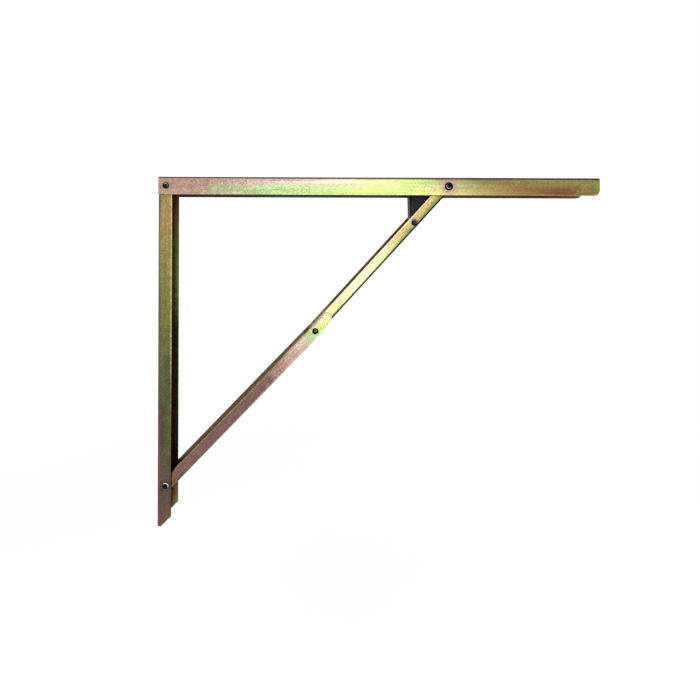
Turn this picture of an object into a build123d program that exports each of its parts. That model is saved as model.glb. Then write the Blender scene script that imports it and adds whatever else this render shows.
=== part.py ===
from build123d import *
from math import acos, atan2, cos, degrees, hypot, radians, sin
import os

# Folding shelf bracket in pressed sheet steel, shown open.
# Four folded channels and five rivets make a linkage: the wall channel and the arm meet at the
# corner, and a brace of two links with a knee between them props the arm. The knee stands just
# past the line between its end pivots, which locks it. A black lever props the upper link off
# the arm. When the lever is pushed over, the knee breaks towards the corner and the arm swings
# down on the wall, with the upper link inside the lower link, both inside the wall channel.
#
# +X points away from the wall, +Y across the bracket and +Z up, in millimetres.
# The origin is on the wall's face, midway between the two wall screws.

os.makedirs("parts", exist_ok=True)

# Sheet, fits and folds
sheet = 1.5
nest_gap = 0.3
running_gap = 0.05
seat_gap = 0.02
inner_bend = 0.7
cut_margin = 1.0

# Arm channel
arm_length = 400.0
arm_width = 30.0
arm_depth = 16.0
arm_end_gap = 0.5
arm_tip_radius = 5.0
arm_heel_radius = 0.8
shelf_screw_spacing = 305.0
shelf_screw_radius = 2.25
first_shelf_screw = 38.0

# Wall channel
wall_drop = 318.0
wall_depth = 12.4
wall_foot_chamfer = 9.0
wall_screw_spacing = 265.0
wall_screw_radius = 2.75
upper_screw_drop = 27.0

# Linkage
web_clearance = 0.6
pivot_below_shelf = arm_depth / 2
wall_pivot_drop = 273.5
arm_pivot_reach = 256.5
over_centre_excess = 0.04

# Lower link
lower_edge = 5.3
lower_heel = 5.6
lower_ear_reach = 19.5
lower_ear_taper = 3.0
lower_web_start = 9.0
lower_web_setback = 9.0

# Upper link
upper_clearance = 1.1
fold_relief = 0.4

# Release lever
lever_pivot_setback = 44.0
lever_sheet = 1.2
lever_half_width = 6.0
lever_back = 3.2
lever_front = 5.0
lever_height = 28.0
lever_top_radius = 1.5
lever_shoulder = 8.0
window_gap = 0.5
window_overrun = 3.0

# Rivets
shank_radius = 2.0
flush_head_radius = 3.1
flush_head_depth = 1.1
corner_head_radius = 3.0
corner_head_height = 0.8
arm_head_radius = 3.9
arm_head_height = 1.2
bush_radius = 3.5
head_edge = 0.35

# Lever spring
wire_radius = 0.3
spring_turns = 7
spring_pitch = 0.75
spring_rise = 14.0
spring_leg = 8.0
spring_leg_tilt = 5.0

# Layers, from the arm inwards: each channel runs inside the one before it
arm_half = arm_width / 2
wall_half = arm_half - sheet - nest_gap
lower_half = wall_half - sheet - nest_gap
upper_half = lower_half - sheet - nest_gap
pivot_from_wall = shank_radius + web_clearance + 3 * sheet + 2 * nest_gap - fold_relief
lower_web = pivot_from_wall - sheet - nest_gap
upper_web = lower_web - sheet - nest_gap + fold_relief
upper_edge = pivot_below_shelf - sheet - upper_clearance
upper_end_radius = upper_edge

# Pivots. The knee is placed by the two link lengths, whose difference lets the brace fold flat.
corner_z = wall_screw_spacing / 2 + upper_screw_drop
shelf_z = corner_z + pivot_below_shelf
wall_pivot_z = corner_z - wall_pivot_drop
arm_pivot_x = pivot_from_wall + arm_pivot_reach
brace_span = hypot(wall_pivot_drop, arm_pivot_reach)
link_difference = wall_pivot_drop - arm_pivot_reach
lower_length = (brace_span + over_centre_excess + link_difference) / 2
upper_length = lower_length - link_difference


def angle_between(side_a, side_b, opposite):
    """Angle in degrees between two sides of a triangle, from the length of the third."""
    return degrees(acos((side_a**2 + side_b**2 - opposite**2) / (2 * side_a * side_b)))


brace_slope = degrees(atan2(wall_pivot_drop, arm_pivot_reach))
lower_angle = brace_slope - angle_between(brace_span, lower_length, upper_length)
upper_angle = brace_slope + angle_between(brace_span, upper_length, lower_length)


def along(start_x, start_z, angle, distance):
    """Point at a distance from a start, in the bracket's middle plane."""
    return (
        start_x + distance * cos(radians(angle)),
        start_z + distance * sin(radians(angle)),
    )


knee_x, knee_z = along(pivot_from_wall, wall_pivot_z, lower_angle, lower_length)
lever_x, lever_z = along(arm_pivot_x, corner_z, upper_angle, -lever_pivot_setback)


def side_plane(x, z, angle, y=0.0):
    """Plane seen from the bracket's side: its x runs at the angle, and its y is to the left."""
    return Plane(
        origin=(x, y, z),
        x_dir=(cos(radians(angle)), 0, sin(radians(angle))),
        z_dir=(0, -1, 0),
    )


def section_plane(x, z, angle, start):
    """Plane across a channel that runs at the angle: its x is across, its y is to the left."""
    start_x, start_z = along(x, z, angle, start)
    return Plane(
        origin=(start_x, 0, start_z),
        x_dir=(0, 1, 0),
        z_dir=(cos(radians(angle)), 0, sin(radians(angle))),
    )


def channel_outline(half_width, web_face, open_edge, thickness):
    """Closed line of a folded channel's section, drawn in the line builder that calls it."""
    inward = thickness if open_edge > web_face else -thickness
    inner_half = half_width - thickness
    outer_bend = inner_bend + thickness
    FilletPolyline(
        (-half_width, open_edge),
        (-half_width, web_face),
        (half_width, web_face),
        (half_width, open_edge),
        radius=outer_bend,
    )
    Line((half_width, open_edge), (inner_half, open_edge))
    FilletPolyline(
        (inner_half, open_edge),
        (inner_half, web_face + inward),
        (-inner_half, web_face + inward),
        (-inner_half, open_edge),
        radius=inner_bend,
    )
    Line((-inner_half, open_edge), (-half_width, open_edge))


def turned_profile(half_length, radius, head_radius, head_depth, head_height, clearance):
    """Half outline of a rivet, with the radius along x and the axis along y.

    A flush rivet has a cone of head_depth inside its length. Another has a bevelled head of
    head_height outside it.
    """
    r = radius + clearance
    top = half_length
    if head_depth:
        cone = head_radius + clearance
        Polyline(
            (0, -top),
            (cone, -top),
            (r, head_depth - top),
            (r, top - head_depth),
            (cone, top),
            (0, top),
            close=True,
        )
    else:
        crown = top + head_height
        Polyline((0, -crown), (0, crown))
        for s in (-1, 1):
            Polyline(
                (0, s * crown),
                (head_radius - head_edge, s * crown),
                (head_radius, s * (crown - head_edge)),
                (head_radius, s * top),
                (r, s * top),
            )
        Line((r, -top), (r, top))


def axle_plane(x, z):
    """Plane for a rivet's half outline: its y is the rivet's axis, across the bracket."""
    return Plane(origin=(x, 0, z), x_dir=(1, 0, 0), z_dir=(0, 0, 1))


def turned_rivet(x, z, half_length, head_radius, head_depth=0.0, head_height=0.0, clearance=0.0):
    """Builder that holds one rivet across the bracket, or the hole that fits it."""
    with BuildPart() as rivet:
        with BuildSketch(axle_plane(x, z)):
            with BuildLine():
                turned_profile(
                    half_length, shank_radius, head_radius, head_depth, head_height, clearance
                )
            make_face()
        revolve(axis=Axis((x, 0, z), (0, 1, 0)))
    return rivet


def flush_rivet(x, z, half_length, clearance=0.0):
    """Builder that holds a rivet whose two heads lie level with the sheet."""
    return turned_rivet(x, z, half_length, flush_head_radius, flush_head_depth, 0, clearance)


def round_bar(x, z, half_length, radius):
    """Builder that holds a plain round bar across the bracket, for a pin or for its hole."""
    with BuildPart() as bar:
        with BuildSketch(side_plane(x, z, 0)):
            Circle(radius)
        extrude(amount=half_length, both=True)
    return bar


def running_hole(x, z, half_width):
    """Bar that cuts a hole in both flanges, which then turn on a rivet's shank."""
    return round_bar(x, z, half_width + sheet, shank_radius + running_gap).part


# Wall channel: its web lies on the wall and its flanges point out. The top is rounded about the
# corner pivot, so that the arm's web passes over it.
wall_top = pivot_below_shelf - sheet - nest_gap
wall_foot = shelf_z - wall_drop
with BuildPart() as wall_channel:
    with BuildSketch(section_plane(0, wall_foot, 90, 0)):
        with BuildLine():
            channel_outline(wall_half, 0, -wall_depth, sheet)
        make_face()
    extrude(amount=corner_z + wall_top - wall_foot)
    with BuildSketch(side_plane(0, wall_foot, 0, arm_half)):
        with BuildLine():
            Polyline(
                (0, corner_z + wall_top - wall_foot),
                (0, 0),
                (wall_depth - wall_foot_chamfer, 0),
                (wall_depth, wall_foot_chamfer),
                (wall_depth, corner_z - wall_foot),
            )
            Line(
                (wall_depth, corner_z - wall_foot),
                (pivot_from_wall + wall_top, corner_z - wall_foot),
            )
            CenterArc((pivot_from_wall, corner_z - wall_foot), wall_top, 0, 90)
            Line(
                (pivot_from_wall, corner_z + wall_top - wall_foot),
                (0, corner_z + wall_top - wall_foot),
            )
        make_face()
    extrude(amount=arm_width, mode=Mode.INTERSECT)
    with BuildSketch(Plane(origin=(0, 0, 0), x_dir=(0, 1, 0), z_dir=(1, 0, 0))):
        with GridLocations(0, wall_screw_spacing, 1, 2):
            Circle(wall_screw_radius)
    extrude(amount=sheet * 2, both=True, mode=Mode.SUBTRACT)
    add(flush_rivet(pivot_from_wall, wall_pivot_z, wall_half, seat_gap).part, mode=Mode.SUBTRACT)
    add(
        round_bar(pivot_from_wall, corner_z, arm_half, shank_radius + seat_gap).part,
        mode=Mode.SUBTRACT,
    )
wall_channel.part.label = "wall_channel"

# Arm channel: its web carries the shelf and its flanges hang down outside the wall channel.
with BuildPart() as arm_channel:
    with BuildSketch(section_plane(0, shelf_z, 0, arm_end_gap)):
        with BuildLine():
            channel_outline(arm_half, 0, -arm_depth, sheet)
        make_face()
    extrude(amount=arm_length)
    with BuildSketch(side_plane(arm_end_gap, shelf_z, 0, arm_half)) as arm_side:
        with BuildLine():
            Polyline((0, 0), (0, -arm_depth), (arm_length, -arm_depth), (arm_length, 0), close=True)
        make_face()
        fillet(arm_side.vertices().group_by(Axis.Y)[0].sort_by(Axis.X)[-1], arm_tip_radius)
        fillet(arm_side.vertices().group_by(Axis.Y)[0].sort_by(Axis.X)[0], arm_heel_radius)
    extrude(amount=arm_width, mode=Mode.INTERSECT)
    with BuildSketch(Plane.XY.offset(shelf_z)):
        with Locations((first_shelf_screw, 0), (first_shelf_screw + shelf_screw_spacing, 0)):
            Circle(shelf_screw_radius)
    extrude(amount=sheet * 2, both=True, mode=Mode.SUBTRACT)
    for x in (pivot_from_wall, arm_pivot_x):
        add(
            round_bar(x, corner_z, arm_width, shank_radius + seat_gap).part, mode=Mode.SUBTRACT
        )
arm_channel.part.label = "arm_channel"

# Lower link: its web is on the corner's side. The web stops short of both pivots, and the two
# ears that run past the knee hold the upper link straight.
with BuildPart() as lower_link:
    with BuildSketch(section_plane(pivot_from_wall, wall_pivot_z, lower_angle, -lower_heel)):
        with BuildLine():
            channel_outline(lower_half, lower_web, -lower_edge, sheet)
        make_face()
    extrude(amount=lower_heel + lower_length + lower_ear_reach)
    lower_side = side_plane(pivot_from_wall, wall_pivot_z, lower_angle)
    ear_end = lower_length + lower_ear_reach
    web_inside = lower_web - sheet - inner_bend
    with BuildSketch(side_plane(pivot_from_wall, wall_pivot_z, lower_angle, arm_half)):
        with BuildLine():
            heel_top = (0, lower_edge)
            Line((lower_web_start, lower_web), (lower_length - lower_web_setback, lower_web))
            Line(
                (lower_length - lower_web_setback, lower_web),
                (lower_length - lower_web_setback, lower_edge),
            )
            Line((lower_length - lower_web_setback, lower_edge), (ear_end, lower_edge))
            Line((ear_end, lower_edge), (ear_end, lower_ear_taper - lower_edge))
            ThreePointArc(
                (ear_end, lower_ear_taper - lower_edge),
                (ear_end - lower_ear_reach / 3, lower_ear_taper / 3 - lower_edge),
                (lower_length, -lower_edge),
            )
            Line((lower_length, -lower_edge), (0, -lower_edge))
            ThreePointArc((0, -lower_edge), (-lower_edge, 0), heel_top)
            Line(heel_top, (lower_web_start, lower_edge))
            Line((lower_web_start, lower_edge), (lower_web_start, lower_web))
        make_face()
    extrude(amount=arm_width, mode=Mode.INTERSECT)
    for start, end in (
        (-lower_heel * 2, lower_web_start),
        (lower_length - lower_web_setback, ear_end + lower_heel),
    ):
        with BuildSketch(lower_side):
            with BuildLine():
                Polyline(
                    (start, web_inside),
                    (end, web_inside),
                    (end, lower_web + sheet),
                    (start, lower_web + sheet),
                    close=True,
                )
            make_face()
        extrude(amount=lower_half - sheet, both=True, mode=Mode.SUBTRACT)
    add(running_hole(pivot_from_wall, wall_pivot_z, lower_half), mode=Mode.SUBTRACT)
    add(flush_rivet(knee_x, knee_z, lower_half, seat_gap).part, mode=Mode.SUBTRACT)
lower_link.part.label = "lower_link"

# Upper link: its web is on the far side from the corner, so that it drops into the lower link.
# A window in the web lets the lever lie down beside the rivet it turns on.
upper_side = side_plane(knee_x, knee_z, upper_angle)
lever_at = upper_length - lever_pivot_setback
window_start = lever_at - lever_front - window_gap
window_end = lever_at + lever_height + window_overrun
with BuildPart() as upper_link:
    with BuildSketch(section_plane(knee_x, knee_z, upper_angle, -upper_end_radius)):
        with BuildLine():
            channel_outline(upper_half, -upper_web, upper_edge, sheet)
        make_face()
    extrude(amount=upper_length + 2 * upper_end_radius)
    with BuildSketch(side_plane(knee_x, knee_z, upper_angle, arm_half)):
        with BuildLine():
            Line((0, -upper_web), (upper_length, -upper_web))
            ThreePointArc(
                (upper_length, -upper_web),
                (upper_length + upper_end_radius * 0.9, (upper_edge - upper_web) / 2),
                (upper_length, upper_edge),
            )
            Line((upper_length, upper_edge), (0, upper_edge))
            ThreePointArc(
                (0, upper_edge),
                (-upper_end_radius * 0.9, (upper_edge - upper_web) / 2),
                (0, -upper_web),
            )
        make_face()
    extrude(amount=arm_width, mode=Mode.INTERSECT)
    with BuildSketch(upper_side):
        with BuildLine():
            Polyline(
                (window_start, -upper_web - sheet),
                (window_end, -upper_web - sheet),
                (window_end, sheet + inner_bend - upper_web),
                (window_start, sheet + inner_bend - upper_web),
                close=True,
            )
        make_face()
    extrude(amount=lever_half_width + window_gap, both=True, mode=Mode.SUBTRACT)
    for x, z in ((knee_x, knee_z), (arm_pivot_x, corner_z)):
        add(running_hole(x, z, upper_half), mode=Mode.SUBTRACT)
    add(flush_rivet(lever_x, lever_z, upper_half, seat_gap).part, mode=Mode.SUBTRACT)
upper_link.part.label = "upper_link"

# Release lever: a small black channel that stands on its rivet, with its back to the wall.
lever_side = side_plane(lever_x, lever_z, 90)
with BuildPart() as release_lever:
    with BuildSketch(section_plane(lever_x, lever_z, 90, -lever_back - cut_margin)):
        with BuildLine():
            channel_outline(lever_half_width, lever_back, -lever_front, lever_sheet)
        make_face()
    extrude(amount=lever_back + lever_height + 2 * cut_margin)
    with BuildSketch(side_plane(lever_x, lever_z, 90, arm_half)):
        with BuildLine():
            Polyline(
                (0, lever_back),
                (0, lever_back + cut_margin),
                (lever_height - lever_top_radius, lever_back + cut_margin),
                (lever_height - lever_top_radius, lever_back),
            )
            RadiusArc(
                (lever_height - lever_top_radius, lever_back),
                (lever_height, lever_back - lever_top_radius),
                lever_top_radius,
            )
            Line(
                (lever_height, lever_back - lever_top_radius),
                (lever_height, lever_top_radius - lever_front),
            )
            RadiusArc(
                (lever_height, lever_top_radius - lever_front),
                (lever_height - lever_top_radius, -lever_front),
                lever_top_radius,
            )
            Polyline(
                (lever_height - lever_top_radius, -lever_front),
                (lever_height - lever_top_radius, -lever_front - cut_margin),
                (lever_shoulder, -lever_front - cut_margin),
                (lever_shoulder, -lever_front),
                (0, -lever_back),
            )
            ThreePointArc((0, -lever_back), (-lever_back, 0), (0, lever_back))
        make_face()
    extrude(amount=arm_width, mode=Mode.INTERSECT)
    with BuildSketch(lever_side):
        with BuildLine():
            Polyline(
                (-lever_back * 2, 0),
                (lever_back - lever_sheet + wire_radius, 0),
                (lever_back - lever_sheet + wire_radius, lever_back * 2),
                (-lever_back * 2, lever_back * 2),
                close=True,
            )
        make_face()
    extrude(amount=lever_half_width - lever_sheet, both=True, mode=Mode.SUBTRACT)
    add(running_hole(lever_x, lever_z, lever_half_width), mode=Mode.SUBTRACT)
release_lever.part.label = "release_lever"

# Lever spring: its close turns are a sleeve round the lever's rivet. One leg leans on the lever's
# back and the other runs down inside the upper link.
coil_radius = shank_radius + running_gap + wire_radius
coil_length = spring_turns * spring_pitch
leg_touch = lever_back - lever_sheet - wire_radius - running_gap
touch_angle = degrees(atan2(spring_rise, -leg_touch))
touch_distance = hypot(spring_rise, leg_touch)
upper_leg = (touch_distance**2 - coil_radius**2) ** 0.5
upper_leg_angle = touch_angle + degrees(acos(upper_leg / touch_distance))
lower_leg_angle = upper_angle + 180 - spring_leg_tilt
with BuildPart() as lever_spring:
    with BuildSketch(side_plane(lever_x, lever_z, 0)):
        Circle(coil_radius + wire_radius)
        Circle(coil_radius - wire_radius, mode=Mode.SUBTRACT)
    extrude(amount=coil_length / 2 + wire_radius, both=True)
    for angle, side, y, leg_length in (
        (upper_leg_angle, -90, -coil_length / 2, upper_leg),
        (lower_leg_angle, 90, coil_length / 2, spring_leg),
    ):
        foot_x, foot_z = along(lever_x, lever_z, angle + side, coil_radius)
        with BuildSketch(
            Plane(
                origin=(foot_x, y, foot_z),
                x_dir=(0, 1, 0),
                z_dir=(cos(radians(angle)), 0, sin(radians(angle))),
            )
        ):
            Circle(wire_radius)
        extrude(amount=leg_length)
lever_spring.part.label = "lever_spring"

# Rivets. The corner's is in two nodes: the pin stays with the wall channel and the heads with
# the arm, with the nesting gap between them.
wall_rivet = flush_rivet(pivot_from_wall, wall_pivot_z, wall_half)
wall_rivet.part.label = "wall_rivet"

knee_rivet = flush_rivet(knee_x, knee_z, lower_half)
knee_rivet.part.label = "knee_rivet"

lever_rivet = flush_rivet(lever_x, lever_z, upper_half)
lever_rivet.part.label = "lever_rivet"

arm_rivet = turned_rivet(
    arm_pivot_x, corner_z, arm_half, arm_head_radius, head_height=arm_head_height
)
arm_rivet.part.label = "arm_rivet"

with BuildPart() as arm_bushes:
    for s in (-1, 1):
        bush_start = upper_half + nest_gap
        bush_end = arm_half - sheet
        with BuildSketch(Plane.XZ.offset(-s * (bush_start + bush_end) / 2)):
            with Locations((arm_pivot_x, corner_z)):
                Circle(bush_radius)
                Circle(shank_radius + seat_gap, mode=Mode.SUBTRACT)
        extrude(amount=(bush_end - bush_start) / 2, both=True)
arm_bushes.part.label = "arm_bushes"

corner_pin = round_bar(pivot_from_wall, corner_z, wall_half, shank_radius)
corner_pin.part.label = "corner_pin"

with BuildPart() as corner_heads:
    add(
        turned_rivet(
            pivot_from_wall,
            corner_z,
            arm_half,
            corner_head_radius,
            head_height=corner_head_height,
        ).part
    )
    add(
        round_bar(pivot_from_wall, corner_z, arm_half - sheet, corner_head_radius * 2).part,
        mode=Mode.SUBTRACT,
    )
corner_heads.part.label = "corner_heads"

pieces = [
    wall_channel,
    arm_channel,
    lower_link,
    upper_link,
    release_lever,
    lever_spring,
    wall_rivet,
    knee_rivet,
    lever_rivet,
    arm_rivet,
    arm_bushes,
    corner_pin,
    corner_heads,
]
for piece in pieces:
    export_step(piece.part, f"parts/{piece.part.label}.step")
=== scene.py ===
"""Looks of a folding shelf bracket in pressed sheet steel with a yellow passivated finish.

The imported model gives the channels, the bushes and the corner's pin, and this script gives each of
them its finish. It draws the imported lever's cheeks forward, and makes the rivets and the lever's
spring anew as numpy surfaces. It also sets up the studio: a pale floor, soft lamps and the camera
at the photograph's angle.
"""

import logging
from dataclasses import dataclass
from enum import Enum
from math import acos, atan2, cos, degrees, hypot, pi, radians, sin

import bmesh
import bpy
import numpy as np
from mathutils import Euler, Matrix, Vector


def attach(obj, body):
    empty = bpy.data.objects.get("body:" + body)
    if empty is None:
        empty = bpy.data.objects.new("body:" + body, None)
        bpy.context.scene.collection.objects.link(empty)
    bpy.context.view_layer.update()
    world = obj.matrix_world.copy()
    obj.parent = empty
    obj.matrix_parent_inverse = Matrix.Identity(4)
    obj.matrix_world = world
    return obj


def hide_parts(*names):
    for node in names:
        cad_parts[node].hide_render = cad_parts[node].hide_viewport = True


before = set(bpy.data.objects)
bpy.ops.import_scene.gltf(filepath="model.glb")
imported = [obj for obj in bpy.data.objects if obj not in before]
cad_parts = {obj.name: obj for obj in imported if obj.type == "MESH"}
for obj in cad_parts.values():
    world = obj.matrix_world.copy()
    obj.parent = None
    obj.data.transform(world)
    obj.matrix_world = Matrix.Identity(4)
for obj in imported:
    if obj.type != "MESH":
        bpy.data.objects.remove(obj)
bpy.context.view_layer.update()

LOG = logging.getLogger("folding_bracket")
MM = 0.001


# Colours


class Tint(Enum):
    """Colours of the passivation film and of the steel under it, and of painted highlight and shade,
    as sRGB shares.
    """

    PALE = (0.97, 0.94, 0.78)
    STRAW = (0.94, 0.88, 0.62)
    LIME = (0.85, 0.94, 0.57)
    MINT = (0.74, 0.85, 0.60)
    SAGE = (0.70, 0.72, 0.56)
    KHAKI = (0.72, 0.69, 0.42)
    OLIVE = (0.56, 0.53, 0.31)
    MOSS = (0.37, 0.39, 0.25)
    TAN = (0.66, 0.56, 0.37)
    BRONZE = (0.60, 0.46, 0.31)
    COCOA = (0.49, 0.37, 0.26)
    RUST = (0.52, 0.33, 0.22)
    UMBER = (0.30, 0.20, 0.13)
    BLUSH = (0.93, 0.83, 0.79)
    ROSE = (0.82, 0.71, 0.65)
    CLAY = (0.74, 0.60, 0.54)
    MAUVE = (0.50, 0.39, 0.36)
    PLUM = (0.30, 0.22, 0.22)
    SLATE = (0.38, 0.32, 0.29)
    FERN = (0.58, 0.66, 0.32)
    APRICOT = (0.90, 0.75, 0.54)
    ROSEWOOD = (0.52, 0.35, 0.35)
    STEEL = (0.66, 0.66, 0.62)
    CHALK = (0.92, 0.92, 0.90)
    INK = (0.07, 0.07, 0.08)


def linear(tint: Tint) -> tuple[float, float, float, float]:
    """Turns a tint into the linear colour that a node stores.

    Args:
        tint: The colour as sRGB shares.

    Returns:
        Linear red, green, blue and a full alpha.
    """
    shares = np.array(tint.value)
    low = shares / 12.92
    high = ((shares + 0.055) / 1.055) ** 2.4
    red, green, blue = np.where(shares <= 0.04045, low, high)
    return float(red), float(green), float(blue), 1.0


# Node building


class Blend(Enum):
    """Ways of laying one colour over another."""

    MIX = "MIX"
    MULTIPLY = "MULTIPLY"


@dataclass
class Board:
    """A node tree and the few steps used to fill it.

    A step takes sockets or plain values, and gives back the socket that holds its result.
    """

    tree: bpy.types.NodeTree

    def node(self, kind: str) -> bpy.types.Node:
        """Adds a node of a kind."""
        return self.tree.nodes.new(kind)

    def feed(self, socket: bpy.types.NodeSocket, value: object) -> None:
        """Links a socket to the value if that is a socket, and else sets it.

        Args:
            socket: The input to fill.
            value: Another node's output, or a number, vector or colour.
        """
        if isinstance(value, bpy.types.NodeSocket):
            self.tree.links.new(value, socket)
        else:
            socket.default_value = value

    def math(self, operation: str, *values: object) -> bpy.types.NodeSocket:
        """Result of one sum on numbers.

        Args:
            operation: The Math node's operation.
            values: Its one, two or three numbers.

        Returns:
            The socket with the result.
        """
        step = self.node("ShaderNodeMath")
        step.operation = operation
        for socket, value in zip(step.inputs, values):
            self.feed(socket, value)
        return step.outputs[0]

    def vector(self, operation: str, first: object, second: object) -> bpy.types.Node:
        """Adds one step on two vectors.

        Args:
            operation: The Vector Math node's operation.
            first: The first vector.
            second: The second vector.

        Returns:
            The node, because some operations give a vector and some a value.
        """
        step = self.node("ShaderNodeVectorMath")
        step.operation = operation
        self.feed(step.inputs[0], first)
        self.feed(step.inputs[1], second)
        return step

    def length(self, vector: object) -> bpy.types.NodeSocket:
        """Length of a vector."""
        step = self.node("ShaderNodeVectorMath")
        step.operation = "LENGTH"
        self.feed(step.inputs[0], vector)
        return step.outputs["Value"]

    def times(self, first: object, second: object) -> bpy.types.NodeSocket:
        """One number times another."""
        return self.math("MULTIPLY", first, second)

    def plus(self, first: object, second: object) -> bpy.types.NodeSocket:
        """One number added to another."""
        return self.math("ADD", first, second)

    def swing(self, value: object, reach: float, middle: float = 0.5) -> bpy.types.NodeSocket:
        """The value's distance from its middle, times the reach."""
        return self.times(self.math("SUBTRACT", value, middle), reach)

    def smooth(
        self, value: object, start: float, end: float, low: float = 0.0, high: float = 1.0
    ) -> bpy.types.NodeSocket:
        """Soft step from low to high while the value goes from start to end.

        Args:
            value: The number that is read.
            start: Where the step begins. It may be above the end.
            end: Where the step is complete.
            low: Result before the step.
            high: Result after it.

        Returns:
            The socket with the result.
        """
        step = self.node("ShaderNodeMapRange")
        step.interpolation_type = "SMOOTHSTEP"
        for socket, entry in zip(step.inputs, (value, start, end, low, high)):
            self.feed(socket, entry)
        return step.outputs[0]

    def mix(
        self, share: object, below: object, above: object, blend: Blend = Blend.MIX
    ) -> bpy.types.NodeSocket:
        """One colour laid over another.

        Args:
            share: How much of the upper colour shows, from 0 to 1.
            below: The lower colour.
            above: The upper colour.
            blend: How the two meet.

        Returns:
            The socket with the colour.
        """
        step = self.node("ShaderNodeMix")
        step.data_type = "RGBA"
        step.blend_type = blend.value
        self.feed(step.inputs[0], share)
        self.feed(step.inputs[6], below)
        self.feed(step.inputs[7], above)
        return step.outputs[2]

    def noise(
        self, place: object, scale: float, detail: float = 2.0, rough: float = 0.5
    ) -> bpy.types.NodeSocket:
        """Cloudy value about one half.

        Args:
            place: The coordinates.
            scale: Clouds to the unit of those coordinates.
            detail: Finer layers.
            rough: How strong the finer layers are.

        Returns:
            The socket with the value.
        """
        step = self.node("ShaderNodeTexNoise")
        self.feed(step.inputs["Vector"], place)
        step.inputs["Scale"].default_value = scale
        step.inputs["Detail"].default_value = detail
        step.inputs["Roughness"].default_value = rough
        return step.outputs[0]

    def bump(self, height: object, strength: float, distance: float) -> bpy.types.NodeSocket:
        """Normal of a relief.

        Args:
            height: The relief, in shares of the distance.
            strength: How much of it shows.
            distance: Its full height.

        Returns:
            The socket with the normal.
        """
        step = self.node("ShaderNodeBump")
        step.inputs["Strength"].default_value = strength
        step.inputs["Distance"].default_value = distance
        self.feed(step.inputs["Height"], height)
        return step.outputs[0]

    def seen(self) -> bpy.types.NodeSocket:
        """One for rays from the camera, metal and glass, and zero for those that bring light."""
        rays = self.node("ShaderNodeLightPath").outputs
        direct = self.plus(rays["Is Camera Ray"], rays["Is Glossy Ray"])
        return self.math("MINIMUM", self.plus(direct, rays["Is Transmission Ray"]), 1.0)

    def split(self, vector: object) -> bpy.types.NodeSocket:
        """The three parts of a vector, as the outputs of one node."""
        step = self.node("ShaderNodeSeparateXYZ")
        self.feed(step.inputs[0], vector)
        return step.outputs

    def local(self, x: float, z: float, angle: float = 0.0) -> bpy.types.NodeSocket:
        """Object coordinates in metres from a point of the side view, with x along an angle.

        Args:
            x: The point's distance from the wall.
            z: The point's height.
            angle: Slope of the new x axis, in degrees.

        Returns:
            The socket with the turned coordinates.
        """
        place = self.node("ShaderNodeTexCoord")
        turn = self.node("ShaderNodeMapping")
        turn.vector_type = "TEXTURE"
        turn.inputs["Location"].default_value = (x, 0.0, z)
        turn.inputs["Rotation"].default_value = (0.0, -radians(angle), 0.0)
        self.feed(turn.inputs["Vector"], place.outputs["Object"])
        return turn.outputs[0]

    def group(self, tree: bpy.types.NodeTree, **values: object) -> bpy.types.Node:
        """Places a shared effect with its own values.

        Args:
            tree: The node group.
            values: Inputs by name, with an underscore for each space.

        Returns:
            The group's node.
        """
        step = self.node("ShaderNodeGroup")
        step.node_tree = tree
        for name, value in values.items():
            self.feed(step.inputs[name.replace("_", " ")], value)
        return step


def new_group(
    name: str, inputs: dict[str, str], outputs: dict[str, str]
) -> tuple[Board, bpy.types.NodeOutputs, bpy.types.NodeInputs]:
    """Starts a node group with named sockets.

    Args:
        name: The group's name.
        inputs: Input names and their socket kinds.
        outputs: Output names and their socket kinds.

    Returns:
        The board to fill, the sockets that bring values in, and those that take results out.
    """
    tree = bpy.data.node_groups.new(name, "ShaderNodeTree")
    for title, kind in inputs.items():
        tree.interface.new_socket(name=title, in_out="INPUT", socket_type=f"NodeSocket{kind}")
    for title, kind in outputs.items():
        tree.interface.new_socket(name=title, in_out="OUTPUT", socket_type=f"NodeSocket{kind}")
    board = Board(tree)
    entry = board.node("NodeGroupInput")
    exit_node = board.node("NodeGroupOutput")
    return board, entry.outputs, exit_node.inputs


def new_material(name: str) -> tuple[bpy.types.Material, Board, bpy.types.Node]:
    """Starts a material that holds a Principled shader.

    Args:
        name: The material's name.

    Returns:
        The material, its board and the shader.
    """
    material = bpy.data.materials.new(name)
    material.use_nodes = True
    board = Board(material.node_tree)
    board.tree.nodes.clear()
    shader = board.node("ShaderNodeBsdfPrincipled")
    end = board.node("ShaderNodeOutputMaterial")
    board.feed(end.inputs["Surface"], shader.outputs[0])
    return material, board, shader


def rolled_film_group() -> bpy.types.NodeTree:
    """Uneven film on rolled sheet, read along the sheet's own directions.

    Drift is a slow wander of 3 cm, Mottle the blotches of a few millimetres that the bath
    leaves, Fleck the spots of a millimetre between them, Streak the long draw lines along the
    sheet, and Grain the fine tooth of the zinc.

    Returns:
        The node group.
    """
    board, given, results = new_group(
        "rolled_film",
        {"Place": "Vector", "Shift": "Vector"},
        {name: "Float" for name in ("Drift", "Mottle", "Fleck", "Streak", "Grain")},
    )
    place = board.vector("ADD", given["Place"], given["Shift"]).outputs[0]
    drawn = board.vector("MULTIPLY", place, (14.0, 520.0, 520.0)).outputs[0]
    board.feed(results["Drift"], board.noise(place, 26.0, 2.0, 0.45))
    board.feed(results["Mottle"], board.noise(place, 190.0, 5.0, 0.62))
    board.feed(results["Fleck"], board.noise(place, 760.0, 2.0, 0.55))
    board.feed(results["Streak"], board.noise(drawn, 1.0, 3.0, 0.6))
    board.feed(results["Grain"], board.noise(place, 1500.0, 3.0, 0.6))
    return board.tree
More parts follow.
